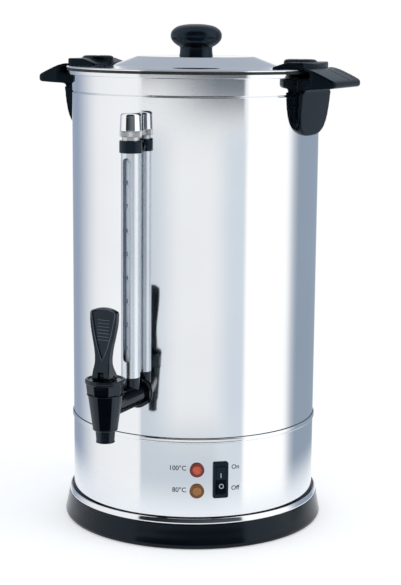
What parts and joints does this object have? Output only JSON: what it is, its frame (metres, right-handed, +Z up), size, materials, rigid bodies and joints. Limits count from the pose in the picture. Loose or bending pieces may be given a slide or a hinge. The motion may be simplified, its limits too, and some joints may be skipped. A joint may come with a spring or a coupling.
{
  "type": "hot water urn",
  "caption": "Electric hot water urn: polished steel tank on a black foot ring, with a lift-off lid, side handles, a sight gauge, a lever tap, signal lamps and a rocker switch.",
  "frame": {"origin": "on the floor under the middle of the tank", "axes": "+Z up along the tank's axis, -Y towards the tap and the sight gauge, +X and -X towards the handles, +Y towards the mains inlet"},
  "size_m": [0.327, 0.3438, 0.506],
  "materials": {
    "polished_steel": "stainless sheet, polished almost to a mirror",
    "bare_steel": "plain zinc-plated or stainless steel",
    "aluminium": "satin",
    "element_sheath": "heat-tinted steel sheath",
    "chrome": "bright chrome plate",
    "brass": "plain machined or stamped brass",
    "black_plastic": "satin heat-proof moulding",
    "phenolic": "dull heat-proof moulding",
    "silicone": "soft, slightly translucent white",
    "rubber": "matte",
    "clear_glass": "clear",
    "red_lens": "translucent red-orange",
    "amber_lens": "translucent amber"
  },
  "bodies": {
    "urn": {"base_ring": "black_plastic", "base_trim": "polished_steel", "base_plate": "bare_steel", "rubber_feet": "rubber", "base_screws": "bare_steel", "control_band": "polished_steel", "tank_wall": "polished_steel", "tank_floor": "bare_steel", "tie_rods": "bare_steel", "hex_nuts": "bare_steel", "heat_spreader": "aluminium", "boil_element": "element_sheath", "keep_warm_element": "element_sheath", "element_clamp": "bare_steel", "clamp_studs": "bare_steel", "thermostat": "phenolic", "thermal_cutout": "phenolic", "terminal_block": "phenolic", "terminal_screws": "bare_steel", "handle_right": "black_plastic", "handle_left": "black_plastic", "handle_screws": "bare_steel", "tap_body": "black_plastic", "tap_outer_washer": "rubber", "tap_inner_washer": "silicone", "tap_nut": "brass", "tap_bonnet": "black_plastic", "bonnet_seal": "silicone", "gauge_seals": "silicone", "gauge_glass": "clear_glass", "gauge_shield": "aluminium", "gauge_collar": "black_plastic", "gauge_screw": "bare_steel", "gauge_gland": "chrome", "gauge_cap": "chrome", "switch_housing": "black_plastic", "rocker_pin": "bare_steel", "switch_blades": "brass", "boil_lamp_bezel": "black_plastic", "boil_lamp_lens": "red_lens", "warm_lamp_bezel": "black_plastic", "warm_lamp_lens": "amber_lens", "lamp_neons": "clear_glass", "mains_inlet": "black_plastic", "inlet_pins": "brass", "inlet_screws": "bare_steel"},
    "lid_lift": {"lid_seal": "silicone"},
    "lid": {"lid_shell": "polished_steel", "lid_knob": "black_plastic", "knob_screw": "bare_steel", "lug_right": "black_plastic", "lug_left": "black_plastic", "lug_screws": "bare_steel"},
    "tap_lever": {"tap_lever": "black_plastic", "lever_pin": "bare_steel"},
    "valve": {"valve_stem": "black_plastic", "valve_seal": "silicone", "valve_spring": "bare_steel"},
    "rocker": {"switch_rocker": "black_plastic"}
  },
  "joints": [
    {"name": "lid_lift", "type": "slide", "parent": "urn", "child": "lid_lift", "axis": [0, 0, 1], "range_m": [0, 0.08]},
    {"name": "lid_turn", "type": "hinge", "parent": "lid_lift", "child": "lid", "pos_m": [0, 0, 0.4613], "axis": [0, 0, 1], "range_deg": [0, 35]},
    {"name": "tap_lever", "type": "hinge", "parent": "urn", "child": "tap_lever", "pos_m": [0, -0.2, 0.1798], "axis": [1, 0, 0], "range_deg": [0, 35], "stiffness_Nm_per_rad": 0.06, "springref_deg": -17.19},
    {"name": "valve_lift", "type": "slide", "parent": "urn", "child": "valve", "axis": [0, 0, 1], "range_m": [0, 0.0048], "deforming": ["valve_spring"]},
    {"name": "rocker_tilt", "type": "hinge", "parent": "urn", "child": "rocker", "pos_m": [0.07629, -0.098, 0.0682], "axis": [0.7891, 0.6143, 0], "range_deg": [0, 20]}
  ],
  "couplings": [
    {"joint": "valve_lift", "follows": "tap_lever", "m_per_rad": 0.00759}
  ]
}
